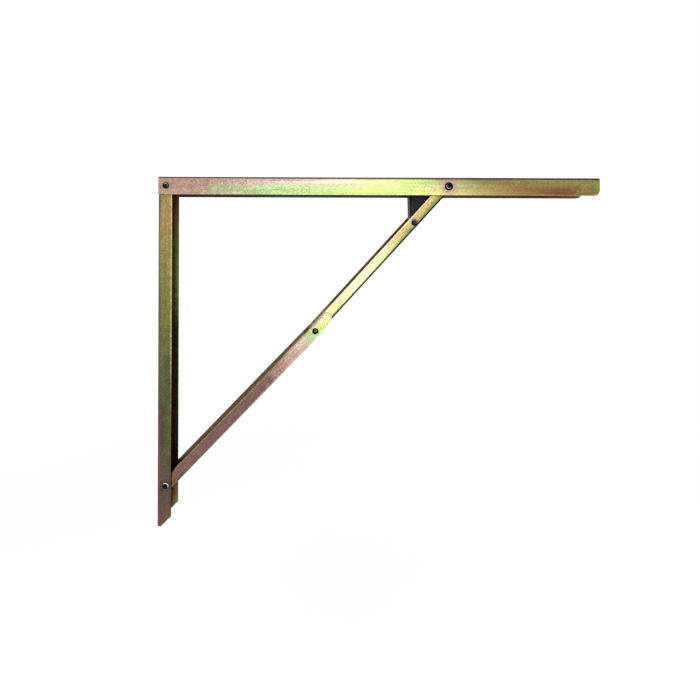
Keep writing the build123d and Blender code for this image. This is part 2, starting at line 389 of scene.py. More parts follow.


# Where the marks on a channel begin to show and where they are full. A depth is taken from the
# web's outer face and an inset from a flange's.
# Painted highlight and painted shade on the two outer folds.
FOLD_LIGHT_SHADE_INSET = (2.4 * MM, 1.2 * MM)
FOLD_LIGHT_SHADE_DEPTH = (2.9 * MM, 1.5 * MM)
# A dark line of painted shade along each fold next to the web.
FOLD_SHADE_INSET = (2.2 * MM, 1.5 * MM)
FOLD_SHADE_SHARE = (1.15, 0.75)
FRINGE_TOP = (1.9 * MM, 2.5 * MM)
FRINGE_FOOT = (3.7 * MM, 2.8 * MM)
FACE_DEPTH = (0.5 * MM, 0.2 * MM)
FACE_INSET = (1.7 * MM, 2.5 * MM)
# Painted highlight along the open edge.
EDGE_HIGHLIGHT_WIDTH = (1.2 * MM, 0.5 * MM)
# Painted shade on the channel's inner faces.
INNER_SKIN = (0.5 * MM, 1.0 * MM)
HALO_SHARE = (1.5, 0.45)
RAGGED = 0.9 * MM


def sheet_places_group() -> bpy.types.NodeTree:
    """Where a point lies on a folded channel, from its own coordinates.

    Depth is the distance from the web's outer face and Across the distance from the middle
    plane. Fold_light_shade covers the two outer folds, which take painted highlight and painted
    shade, Fold_shade the line of each fold next to the web, which takes a dark line of painted
    shade, Fringe a thin line beyond the fold, Back the web's outer face, Edge_highlight the last
    millimetre before the open edge, which takes a painted highlight, and Inside everything within
    the channel, whose inner faces take painted shade. Rise goes from 0 at the web to 1 at the
    open edge.

    Returns:
        The node group.
    """
    board, given, results = new_group(
        "sheet_places",
        {
            "Place": "Vector",
            "Web": "Float",
            "Open": "Float",
            "Half": "Float",
            "Fold": "Float",
            "Wander": "Float",
        },
        {
            name: "Float"
            for name in ("Fold_light_shade", "Fold_shade", "Fringe", "Back", "Edge_highlight", "Inside", "Rise")
        },
    )
    parts = board.split(given["Place"])
    depth = board.math("ABSOLUTE", board.math("SUBTRACT", parts[2], given["Web"]))
    full = board.math("ABSOLUTE", board.math("SUBTRACT", given["Open"], given["Web"]))
    inset = board.math("SUBTRACT", given["Half"], board.math("ABSOLUTE", parts[1]))
    ragged = board.plus(depth, board.swing(given["Wander"], RAGGED))
    fold_share = board.math("DIVIDE", depth, given["Fold"])
    masks = {
        "Fold_light_shade": ((inset, FOLD_LIGHT_SHADE_INSET), (ragged, FOLD_LIGHT_SHADE_DEPTH)),
        "Fold_shade": ((inset, FOLD_SHADE_INSET), (fold_share, FOLD_SHADE_SHARE)),
        "Fringe": ((ragged, FRINGE_TOP), (ragged, FRINGE_FOOT)),
        "Back": ((depth, FACE_DEPTH), (inset, FACE_INSET)),
        "Inside": ((depth, INNER_SKIN), (inset, INNER_SKIN)),
    }
    for name, steps in masks.items():
        first, second = (board.smooth(value, *reach) for value, reach in steps)
        board.feed(results[name], board.times(first, second))
    left = board.math("SUBTRACT", full, ragged)
    board.feed(results["Edge_highlight"], board.smooth(left, *EDGE_HIGHLIGHT_WIDTH))
    board.feed(results["Rise"], board.math("DIVIDE", depth, full))
    return board.tree


def halo_group() -> bpy.types.NodeTree:
    """Soft disc round a rivet, where the press rubbed the film.

    Returns:
        The node group, whose Halo is 1 at the pivot's axis and 0 beyond the radius.
    """
    board, given, results = new_group(
        "rivet_halo",
        {"Place": "Vector", "Radius": "Float", "Wander": "Float"},
        {"Halo": "Float"},
    )
    flat = board.vector("MULTIPLY", given["Place"], (1.0, 0.0, 1.0)).outputs[0]
    share = board.math("DIVIDE", board.length(flat), given["Radius"])
    uneven = board.plus(share, board.times(given["Wander"], 0.5))
    board.feed(results["Halo"], board.smooth(uneven, *HALO_SHARE))
    return board.tree


@dataclass(frozen=True)
class SharedEffects:
    """The node groups that several finishes use."""

    film: bpy.types.NodeTree
    places: bpy.types.NodeTree
    halo: bpy.types.NodeTree


# Finishes

# A run of colours along a channel: shares of its length, each with its tint.
Run = tuple[tuple[float, Tint], ...]


@dataclass(frozen=True)
class Halo:
    """Film rubbed round a rivet: its centre, reach and colour, and how strongly that shows."""

    x: float
    z: float
    radius: float
    tint: Tint
    strength: float


@dataclass(frozen=True)
class PassivatedSheet:
    """Zinc with a yellow film whose colour runs along the channel, with painted light over it.

    The run near the web and the run near the open edge are two rows of stops. Besides the film's
    own tints they hold painted light: paler where the highlight falls, and darker away from it.
    The colour between them goes from one to the other with the depth, and noise pulls both about.
    Fold light shade, rim, back, fringe and fold shade are the tints at the places of those names,
    each with the share that shows there. The fold light shade is painted highlight and painted
    shade on the outer folds, the rim a painted highlight along the open edge, and the fold shade a
    dark line of painted shade at each fold. Far fold light shade takes over from fold light shade
    beyond the middle, and the rim's two highlight shares are those near the start and further
    along. Fold shade depth is how far down the flange the fold shade reaches. The inside tint and
    shade is the run on the inside near the rim, over a deeper tint: painted shade within the
    channel, with the film's own tints near the rim. Glancing tints what is seen at a low angle.
    The two pulls are how far the slow and the fine noise move the runs, in shares of the length.
    Relief is the bump's strength and height.
    """

    name: str
    near_web: Run
    near_edge: Run
    # Painted highlight and painted shade on the outer folds.
    fold_light_shade: Tint
    fold_light_shade_share: float
    rim: Tint
    # Painted highlight along the open edge, and its two shares.
    edge_highlight_shares: tuple[float, float]
    shift: tuple[float, float, float]
    # Painted shade inside the channel, with the film's own tints near the rim.
    inside_tint_and_shade: Run
    # Dark line of painted shade along each fold, and how far down the flange it reaches.
    fold_shade_depth: float
    fold_shade: Tint = Tint.INK
    fold_shade_share: float = 0.9
    far_fold_light_shade: Tint | None = None
    back: Tint | None = None
    back_share: float = 0.85
    fringe: Tint | None = None
    fringe_share: float = 0.6
    inside_shade_deep: Tint = Tint.UMBER
    inside_tint_and_shade_share: float = 0.85
    glancing: tuple[float, float, float, float] = (0.16, 0.13, 0.09, 1.0)
    halos: tuple[Halo, ...] = ()
    drift_pull: float = 0.14
    fleck_pull: float = 0.10
    relief: tuple[float, float] = (0.22, 0.05 * MM)

    def ramp(
        self, board: Board, share: bpy.types.NodeSocket, stops: Run
    ) -> bpy.types.NodeSocket:
        """Colour run along the channel.

        Args:
            board: The material's board.
            share: Place along the channel, from 0 to 1.
            stops: The colours in order.

        Returns:
            The socket with the colour.
        """
        step = board.node("ShaderNodeValToRGB")
        elements = step.color_ramp.elements
        while len(elements) < len(stops):
            elements.new(1.0)
        for element, (place, tint) in zip(elements, stops):
            element.position = place
            element.color = linear(tint)
        board.feed(step.inputs[0], share)
        return step.outputs[0]

    def material(self, effects: SharedEffects, channel: "Channel") -> bpy.types.Material:
        """Makes the material for one channel.

        Args:
            effects: The shared node groups.
            channel: The channel, whose sizes place the colours.

        Returns:
            The material.
        """
        material, board, shader = new_material(self.name)
        place = board.local(channel.x, channel.z, channel.angle)
        film = board.group(effects.film, Place=place, Shift=self.shift).outputs
        where = board.group(
            effects.places,
            Place=place,
            Web=channel.web,
            Open=channel.open_edge,
            Half=channel.half,
            Fold=self.fold_shade_depth,
            Wander=film["Mottle"],
        ).outputs
        along = board.math("DIVIDE", board.split(place)[0], channel.length)
        wander = board.swing(film["Drift"], self.drift_pull)
        patch = board.math("MULTIPLY_ADD", film["Fleck"], 0.45, film["Mottle"])
        fleck = board.swing(patch, self.fleck_pull, 0.725)
        share = board.plus(along, board.plus(wander, fleck))
        lean = board.plus(where["Rise"], board.times(wander, 3.0))
        lean = board.smooth(board.plus(lean, board.times(fleck, 3.2)), 0.22, 0.72)
        # The runs hold the film's tints and painted light: paler where the highlight falls, darker
        # away from it.
        web_run = self.ramp(board, share, self.near_web)
        colour = board.mix(lean, web_run, self.ramp(board, share, self.near_edge))
        for halo in self.halos:
            ring = board.group(
                effects.halo,
                Place=board.local(halo.x, halo.z),
                Radius=halo.radius,
                Wander=board.math("SUBTRACT", film["Mottle"], 0.5),
            )
            rub_and_highlight = board.times(ring.outputs[0], halo.strength)
            colour = board.mix(rub_and_highlight, colour, linear(halo.tint))
        for mask, tint in self.marks(board, film, where, along):
            colour = board.mix(mask, colour, tint)
        # Painted shade inside the channel: the deep tint near the web, and the inside run's tints
        # towards the open edge, which are partly the film's own colour.
        toward_rim = board.smooth(where["Rise"], 0.4, 0.95)
        rim_run = self.ramp(board, share, self.inside_tint_and_shade)
        inside_tint_and_shade = board.mix(toward_rim, linear(self.inside_shade_deep), rim_run)
        colour = board.mix(board.times(where["Inside"], self.inside_tint_and_shade_share), colour, inside_tint_and_shade)
        streak = board.smooth(film["Streak"], 0.25, 0.75, 0.83, 1.12)
        blotch = board.smooth(patch, 0.5, 0.95, 0.82, 1.12)
        speck = board.smooth(film["Fleck"], 0.35, 0.65, 0.88, 1.12)
        level = board.times(board.times(streak, blotch), speck)
        grey = board.node("ShaderNodeCombineColor")
        for socket in grey.inputs:
            board.feed(socket, level)
        colour = board.mix(1.0, colour, grey.outputs[0], Blend.MULTIPLY)
        board.feed(shader.inputs["Base Color"], colour)
        shader.inputs["Metallic"].default_value = 1.0
        shader.inputs["Specular Tint"].default_value = self.glancing
        rough = board.smooth(film["Mottle"], 0.3, 0.72, 0.30, 0.44)
        rough = board.plus(rough, board.times(where["Inside"], 0.12))
        board.feed(shader.inputs["Roughness"], rough)
        relief = board.plus(film["Streak"], board.times(film["Grain"], 0.6))
        board.feed(shader.inputs["Normal"], board.bump(relief, *self.relief))
        return material

    def marks(
        self,
        board: Board,
        film: bpy.types.NodeOutputs,
        where: bpy.types.NodeOutputs,
        along: bpy.types.NodeSocket,
    ) -> list[tuple[object, object]]:
        """What lies over the runs outside: folds and rims with painted highlight and shade, the
        web's face, fringe, and the fold shade, a dark line of painted shade.

        Args:
            board: The material's board.
            film: Outputs of the rolled film.
            where: Outputs of the sheet's places.
            along: Place along the channel, from 0 to 1.

        Returns:
            Pairs of a mask and the colour that it shows, from the lowest to the uppermost.
        """
        # The fold tint: painted highlight and painted shade along the outer folds.
        fold_light_shade = linear(self.fold_light_shade)
        if self.far_fold_light_shade:
            fold_light_shade = board.mix(board.smooth(along, 0.42, 0.6), fold_light_shade, linear(self.far_fold_light_shade))
        # The rim: a painted highlight along the open edge.
        edge_highlight_share = board.smooth(along, 0.25, 0.6, *self.edge_highlight_shares)
        found = [
            (board.times(where["Fold_light_shade"], self.fold_light_shade_share), fold_light_shade),
            (board.times(where["Edge_highlight"], edge_highlight_share), linear(self.rim)),
        ]
        if self.back:
            found.append((board.times(where["Back"], self.back_share), linear(self.back)))
        if self.fringe:
            patchy = board.smooth(film["Drift"], 0.40, 0.62, 0.1, self.fringe_share)
            found.append((board.times(where["Fringe"], patchy), linear(self.fringe)))
        # The fold shade: a dark line of painted shade along each fold.
        found.append((board.times(where["Fold_shade"], self.fold_shade_share), linear(self.fold_shade)))
        return found


@dataclass(frozen=True)
class BlackCoat:
    """Satin black coat, scuffed through to steel in fine lines, more so at the thumb's end.

    Deep and cloudy are its two blacks, as linear colours. The shares say how much steel shows
    in the lines, all over and on top of that at the end.
    """

    name: str = "black_coat"
    deep: tuple[float, float, float, float] = (0.004, 0.004, 0.005, 1.0)
    cloudy: tuple[float, float, float, float] = (0.012, 0.013, 0.016, 1.0)
    bare_share: float = 0.16
    worn_share: float = 0.5

    def material(self, x: float, z: float, height: float) -> bpy.types.Material:
        """Makes the coat for a lever that stands on a pivot.

        Args:
            x: The pivot's distance from the wall.
            z: The pivot's height.
            height: The lever's length above the pivot.

        Returns:
            The material.
        """
        material, board, shader = new_material(self.name)
        place = board.local(x, z)
        cloud = board.noise(place, 240.0, 5.0, 0.65)
        fine = board.noise(place, 1900.0, 3.0, 0.6)
        drawn = board.vector("MULTIPLY", place, (700.0, 700.0, 60.0)).outputs[0]
        rub = board.noise(drawn, 1.0, 4.0, 0.7)
        high = board.math("DIVIDE", board.split(place)[2], height)
        worn_end = board.smooth(board.plus(high, board.times(cloud, 0.3)), 0.95, 1.3)
        scuff = board.smooth(rub, 0.60, 0.74)
        worn = board.plus(board.times(worn_end, self.worn_share), self.bare_share)
        bare = board.times(scuff, worn)
        coat = board.mix(board.smooth(cloud, 0.3, 0.7), self.deep, self.cloudy)
        board.feed(shader.inputs["Base Color"], board.mix(bare, coat, linear(Tint.STEEL)))
        board.feed(shader.inputs["Metallic"], bare)
        board.feed(shader.inputs["Roughness"], board.smooth(cloud, 0.25, 0.75, 0.42, 0.58))
        shader.inputs["Specular IOR Level"].default_value = 0.28
        normal = board.bump(board.plus(fine, cloud), 0.3, 0.06 * MM)
        board.feed(shader.inputs["Normal"], normal)
        return material


@dataclass(frozen=True)
class RivetSteel:
    """Dark oxide on an upset rivet, with a bright lip that is rubbed metal and a painted highlight,
    and dusty in its cup.

    The lip is at a share of the head's radius. Its painted highlight is brightest on the side that
    faces the angle highlight_from, in degrees from +X.
    """

    name: str
    lip_share: float
    lip: Tint = Tint.STEEL
    # Share of the bright lip, rubbed metal and a painted highlight, and the side it is brightest on.
    rub_and_highlight: float = 0.55
    highlight_from: float = 60.0
    core: Tint = Tint.MOSS
    core_share: float = 0.4

    def material(self, effects: SharedEffects, rivet: "Rivet") -> bpy.types.Material:
        """Makes the material for one rivet.

        Args:
            effects: The shared node groups.
            rivet: The rivet, whose sizes place the rings.

        Returns:
            The material.
        """
        material, board, shader = new_material(self.name)
        place = board.local(rivet.x, rivet.z)
        film = board.group(effects.film, Place=place, Shift=(rivet.x, 0.3, rivet.z)).outputs
        flat = board.vector("MULTIPLY", place, (1.0, 0.0, 1.0)).outputs[0]
        share = board.math("DIVIDE", board.length(flat), rivet.head_radius)
        blotch = board.noise(place, 900.0, 3.0, 0.6)
        uneven = board.plus(share, board.swing(blotch, 0.22))
        outer = board.smooth(uneven, self.lip_share + 0.16, self.lip_share + 0.05)
        inner = board.smooth(uneven, self.lip_share - 0.16, self.lip_share - 0.05)
        half_radius = rivet.head_radius * 0.5
        angle = radians(self.highlight_from)
        facing = (cos(angle) / half_radius, 0.0, sin(angle) / half_radius)
        toward = board.vector("DOT_PRODUCT", place, facing).outputs["Value"]
        # Painted highlight: the lip is lighter on the side that faces highlight_from.
        lip = board.times(board.times(outer, inner), board.smooth(toward, -0.4, 1.0))
        core = board.smooth(uneven, self.lip_share - 0.08, self.lip_share - 0.3)
        core = board.times(core, self.core_share)
        colour = board.mix(core, linear(Tint.INK), linear(self.core))
        colour = board.mix(board.times(lip, self.rub_and_highlight), colour, linear(self.lip))
        board.feed(shader.inputs["Base Color"], colour)
        shader.inputs["Metallic"].default_value = 0.85
        board.feed(shader.inputs["Roughness"], board.smooth(film["Mottle"], 0.3, 0.7, 0.30, 0.5))
        board.feed(shader.inputs["Normal"], board.bump(blotch, 0.35, 0.08 * MM))
        return material


@dataclass(frozen=True)
class PlainSteel:
    """Drawn steel of the pins, bushes and spring wire, with fine turning marks."""

    name: str
    light: Tint
    dark: Tint

    def material(self, effects: SharedEffects) -> bpy.types.Material:
        """Makes the material.

        Args:
            effects: The shared node groups.

        Returns:
            The material.
        """
        material, board, shader = new_material(self.name)
        place = board.local(0.0, 0.0)
        film = board.group(effects.film, Place=place, Shift=(0.7, 0.1, 0.4)).outputs
        turned = board.noise(board.vector("MULTIPLY", place, (60.0, 2600.0, 60.0)).outputs[0], 1.0)
        clouds = board.smooth(film["Mottle"], 0.3, 0.7)
        colour = board.mix(clouds, linear(self.dark), linear(self.light))
        board.feed(shader.inputs["Base Color"], colour)
        shader.inputs["Metallic"].default_value = 1.0
        board.feed(shader.inputs["Roughness"], board.smooth(turned, 0.3, 0.7, 0.26, 0.42))
        board.feed(shader.inputs["Normal"], board.bump(turned, 0.2, 0.04 * MM))
        return material


# Surfaces


def grid_mesh(name: str, points: np.ndarray) -> bpy.types.Mesh:
    """Mesh over a grid of points whose second direction closes on itself.

    Corner k of each face is a grid point or its neighbour in one or both directions. The first
    and last rows are each closed with one many-sided face.

    Args:
        name: The mesh's name.
        points: Rows by columns by three coordinates.

    Returns:
        The mesh, with smooth faces.
    """
    rows, columns = points.shape[:2]
    index = np.arange(rows * columns).reshape(rows, columns)
    beside = np.roll(index, -1, axis=1)
    quads = np.stack((index[:-1], beside[:-1], beside[1:], index[1:]), axis=-1).reshape(-1, 4)
    faces = quads.tolist() + [index[0, ::-1].tolist(), index[-1].tolist()]
    mesh = bpy.data.meshes.new(name)
    mesh.from_pydata(points.reshape(-1, 3), [], faces)
    mesh.validate()
    mesh.polygons.foreach_set("use_smooth", np.ones(len(mesh.polygons), dtype=bool))
    return mesh


def soft_step(value: np.ndarray, start: float, end: float) -> np.ndarray:
    """Rises from 0 at start to 1 at end along the curve 3t squared less 2t cubed.

    Args:
        value: The numbers read.
        start: Where the rise begins.
        end: Where it is complete.

    Returns:
        The step for each number.
    """
    t = np.clip((value - start) / (end - start), 0.0, 1.0)
    return t * t * (3.0 - 2.0 * t)


def new_piece(name: str, mesh: bpy.types.Mesh, material: bpy.types.Material) -> bpy.types.Object:
    """Puts a mesh into the scene as a piece at the origin.

    Args:
        name: The piece's name.
        mesh: Its mesh, already in place.
        material: Its finish.

    Returns:
        The object.
    """
    piece = bpy.data.objects.new(name, mesh)
    bpy.context.scene.collection.objects.link(piece)
    mesh.materials.append(material)
    return piece


def dress(node: str, material: bpy.types.Material) -> None:
    """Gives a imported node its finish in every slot.

    Args:
        node: The node's name.
        material: Its finish.
    """
    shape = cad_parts[node]
    if not shape.material_slots:
        shape.data.materials.append(material)
    for place in shape.material_slots:
        place.material = material


# Sub-assemblies


@dataclass(frozen=True)
class Channel:
    """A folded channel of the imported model, described along its own axis.

    The axis starts at x and z and slopes at the angle. The web and the open edge are heights
    above the axis, and half is half of the outer width.
    """

    node: str
    x: float
    z: float
    angle: float
    length: float
    web: float
    open_edge: float
    half: float
    finish: PassivatedSheet

    def build(self, effects: SharedEffects) -> str:
        """Gives the channel its film.

        Args:
            effects: The shared node groups.

        Returns:
            The node's name, for the log.
        """
        dress(self.node, self.finish.material(effects, self))
        return self.node


@dataclass(frozen=True)
class ReleaseLever:
    """The black lever, with the cheeks that widen in front of the upper link's edge.

    Its pivot is at x and z. Height is its length above that, for the finish. Neck and shoulder
    are heights above the pivot, and the two angles are in degrees.
    """

    x: float
    z: float
    finish: BlackCoat
    height: float = 28.0 * MM
    widening: float = 2.2
    spread: float = 1.2
    neck: float = 3.0 * MM
    shoulder: float = 8.0 * MM
    edge_break: float = 0.18 * MM
    edge_angle: float = 40.0
    same_point: float = 0.005 * MM
    flat_angle: float = 0.5

    def build(self) -> str:
        """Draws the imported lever's cheeks forward and breaks its edges.

        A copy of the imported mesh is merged. Each point in front of the pivot then moves to the
        pivot plus its distance ahead times a factor, which rises softly from 1 at the neck to
        the widening at the shoulder. Points behind it spread in the same way. The rounded foot
        stays as it is.

        Returns:
            The piece's name, for the log.
        """
        shape = bmesh.new()
        shape.from_mesh(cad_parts["release_lever"].data)
        bmesh.ops.remove_doubles(shape, verts=shape.verts, dist=self.same_point)
        bmesh.ops.dissolve_limit(
            shape, angle_limit=radians(self.flat_angle), verts=shape.verts, edges=shape.edges
        )
        mesh = bpy.data.meshes.new("lever_plate")
        shape.to_mesh(mesh)
        shape.free()
        points = np.empty(len(mesh.vertices) * 3)
        mesh.vertices.foreach_get("co", points)
        points = points.reshape(-1, 3)
        ahead = points[:, 0] - self.x
        above = points[:, 2] - self.z
        rise = soft_step(above, self.neck, self.shoulder)
        factor = 1.0 + (np.where(ahead > 0.0, self.widening, self.spread) - 1.0) * rise
        points[:, 0] = self.x + ahead * factor
        mesh.vertices.foreach_set("co", points.ravel())
        mesh.materials.clear()
        mesh.update()
        piece = new_piece("lever_plate", mesh, self.finish.material(self.x, self.z, self.height))
        bevel = piece.modifiers.new("edge_break", "BEVEL")
        bevel.width = self.edge_break
        bevel.segments = 2
        bevel.limit_method = "ANGLE"
        bevel.angle_limit = radians(self.edge_angle)
        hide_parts("release_lever")
        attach(piece, "lever")
        return piece.name


class Head(Enum):
    """Shapes of a rivet's head."""

    FLUSH = "flush"
    RAISED = "raised"


@dataclass(frozen=True)
class Rivet:
    """A rivet across the bracket, as one turned surface or as two separate heads.

    Its axis crosses the side view at x and z. Half length is the distance from the middle plane
    to the sheet's outer face, and a raised head stands out from there by its height. Flush
    fall, rim and root are how far a flush head's face drops, and how deep its rim and the start
    of its shank lie below the outer face. Root is how deep a separate head's end lies. Steps is
    the number of points on a head's face, and sides that round it.
    """

    name: str
    node: str
    body: str
    x: float
    z: float
    half_length: float
    cup_radius: float
    cup_depth: float
    finish: RivetSteel
    head: Head = Head.FLUSH
    head_radius: float = 3.1 * MM
    height: float = 0.0
    through: bool = True
    shank_radius: float = 2.0 * MM
    lip_height: float = 0.12 * MM
    flush_fall: float = 0.45 * MM
    flush_rim: float = 0.55 * MM
    flush_root: float = 1.1 * MM
    root: float = 1.4 * MM
    steps: int = 26
    sides: int = 56

    def profile(self) -> np.ndarray:
        """Radius and distance from the middle plane, from a head's centre to under its rim.

        The head's face is a flat crown that falls off towards the rim as the fourth power of
        the radius. A cup with a soft edge is sunk into the middle, and a lip stands round it:
        one bell curve of the radius, a quarter beyond the cup's edge.

        Returns:
            Rows of radius and distance.
        """
        raised = self.head is Head.RAISED
        radius = self.head_radius * np.sin(np.linspace(0.02, 1.0, self.steps) * pi / 2)
        share = radius / self.head_radius
        top = self.half_length + self.height
        fall = self.height if raised else self.flush_fall
        rim_at = top - (self.height if raised else self.flush_rim)
        root_at = self.half_length - (0.0 if raised else self.flush_root)
        cup = self.cup_depth * (1.0 - soft_step(radius, 0.45 * self.cup_radius, self.cup_radius))
        lip_at = (radius - 1.25 * self.cup_radius) / (0.45 * self.cup_radius)
        ease = self.lip_height * (1.0 - np.exp(-(lip_at**2)))
        face = top - cup - ease - 0.78 * fall * share**4
        rim = [(self.head_radius, rim_at), (self.shank_radius, root_at)]
        return np.vstack((np.column_stack((radius, face)), rim))

    def turned(self, profile: np.ndarray) -> np.ndarray:
        """Turns a profile about the rivet's axis, with a slightly hammered outline.

        A point at angle a and radius r goes to x = r cos a, z = r sin a from the pivot. The
        radius is drawn in by up to one part in fifty, along a sum of two waves of a.

        Args:
            profile: Rows of radius and place along the axis.

        Returns:
            A grid of points.
        """
        angle = np.linspace(0.0, 2.0 * pi, self.sides, endpoint=False)
        wave = 0.5 + 0.3 * np.cos(3.0 * angle + 40.0 * self.x) + 0.2 * np.cos(7.0 * angle + 1.0)
        drawn_in = 1.0 - 0.02 * wave
        radius = profile[:, :1] * drawn_in
        across = np.broadcast_to(profile[:, 1:], radius.shape)
        return np.stack(
            (self.x + radius * np.cos(angle), across, self.z + radius * np.sin(angle)), axis=-1
        )

    def build(self, effects: SharedEffects) -> str:
        """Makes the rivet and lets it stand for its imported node.

        Args:
            effects: The shared node groups.

        Returns:
            The piece's name, for the log.
        """
        half = self.profile()
        if self.through:
            rows = [np.vstack((half, half[::-1] * (1.0, -1.0)))]
        else:
            end = np.vstack((half, [(self.shank_radius, self.half_length - self.root)]))
            rows = [end, end[::-1] * (1.0, -1.0)]
        material = self.finish.material(effects, self)
        points = [self.turned(profile) for profile in rows]
        meshes = [grid_mesh(f"{self.name}_{k}", grid) for k, grid in enumerate(points)]
        piece = new_piece(self.name, meshes[0], material)
        if len(meshes) > 1:
            other = new_piece(f"{self.name}_far", meshes[1], material)
            with bpy.context.temp_override(
                active_object=piece, selected_editable_objects=[piece, other]
            ):
                bpy.ops.object.join()
        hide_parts(self.node)
        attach(piece, self.body)
        return self.name


@dataclass(frozen=True)
class LeverSpring:
    """Wire spring round the lever's rivet: one leg up its back and one down the upper link.

    The first leg ends at the height rise, a distance touch behind the pivot. The last one leans
    from the link's line by the leg's tilt, in degrees. Ease is the gap left between the coil's
    end and a leg's first point, where the wire rounds over.
    """

    x: float
    z: float
    link_angle: float
    finish: PlainSteel
    coil_radius: float = 2.35 * MM
    wire_radius: float = 0.3 * MM
    turns: int = 7
    coil_length: float = 5.25 * MM
    rise: float = 14.0 * MM
    touch: float = 1.65 * MM
    lower_leg: float = 8.0 * MM
    leg_tilt: float = 5.0
    ease: float = 0.4 * MM
    turn_steps: int = 40
    sides: int = 14

    def path(self) -> np.ndarray:
        """Middle line of the wire.

        The first leg is straight and meets the coil as a tangent. The coil's angle falls evenly
        while its place across the bracket grows evenly, which is a helix. The last leg leaves
        it as a tangent too.

        Returns:
            Rows of points.
        """
        reach = hypot(self.rise, self.touch)
        leg = (reach**2 - self.coil_radius**2) ** 0.5
        lean = degrees(atan2(self.rise, -self.touch)) + degrees(acos(leg / reach))
        first = lean - 90.0
        last = self.link_angle + 180.0 - self.leg_tilt + 90.0
        sweep = 360.0 * self.turns + (first - last) % 360.0
        angle = np.radians(first - np.linspace(0.0, sweep, self.turn_steps * self.turns))
        across = np.linspace(-0.5, 0.5, len(angle)) * self.coil_length
        coil = np.column_stack(
            (self.coil_radius * np.cos(angle), across, self.coil_radius * np.sin(angle))
        )
        up = np.array([cos(radians(lean)), 0.0, sin(radians(lean))])
        down_angle = radians(last - 90.0)
        down = np.array([cos(down_angle), 0.0, sin(down_angle)])
        near = np.linspace(leg, self.ease, 9)[:, None]
        far = np.linspace(self.ease, self.lower_leg, 7)[:, None]
        points = np.vstack((coil[0] + near * up, coil, coil[-1] + far * down))
        return points + np.array([self.x, 0.0, self.z])

    def build(self, effects: SharedEffects) -> str:
        """Carries a circle along the wire's middle line.

        At each point the circle lies across the path's own direction. Its two axes are the
        direction crossed with +Y, and that crossed with the direction again.

        Args:
            effects: The shared node groups.

        Returns:
            The piece's name, for the log.
        """
        middle = self.path()
        ahead = np.gradient(middle, axis=0)
        ahead /= np.linalg.norm(ahead, axis=1)[:, None]
        side = np.cross(ahead, (0.0, 1.0, 0.0))
        side /= np.linalg.norm(side, axis=1)[:, None]
        lift = np.cross(side, ahead)
        angle = np.linspace(0.0, 2.0 * pi, self.sides, endpoint=False)
        circle = np.cos(angle)[:, None] * side[:, None] + np.sin(angle)[:, None] * lift[:, None]
        mesh = grid_mesh("wire_spring", middle[:, None] + self.wire_radius * circle)
        piece = new_piece("wire_spring", mesh, self.finish.material(effects))
        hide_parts("lever_spring")
        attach(piece, "lever")
        return piece.name


# Studio


@dataclass(frozen=True)
class Lamp:
    """A soft square lamp that faces a point."""

    name: str
    place: tuple[float, float, float]
    aim: tuple[float, float, float]
    side: float
    watts: float

    def build(self) -> str:
        """Hangs the lamp and turns it to its aim."""
        data = bpy.data.lights.new(self.name, "AREA")
        data.size = self.side
        data.energy = self.watts
        lamp = bpy.data.objects.new(self.name, data)
        bpy.context.scene.collection.objects.link(lamp)
        lamp.location = self.place
        ahead = Vector(self.aim) - Vector(self.place)
        lamp.rotation_euler = ahead.to_track_quat("-Z", "Y").to_euler()
        return self.name


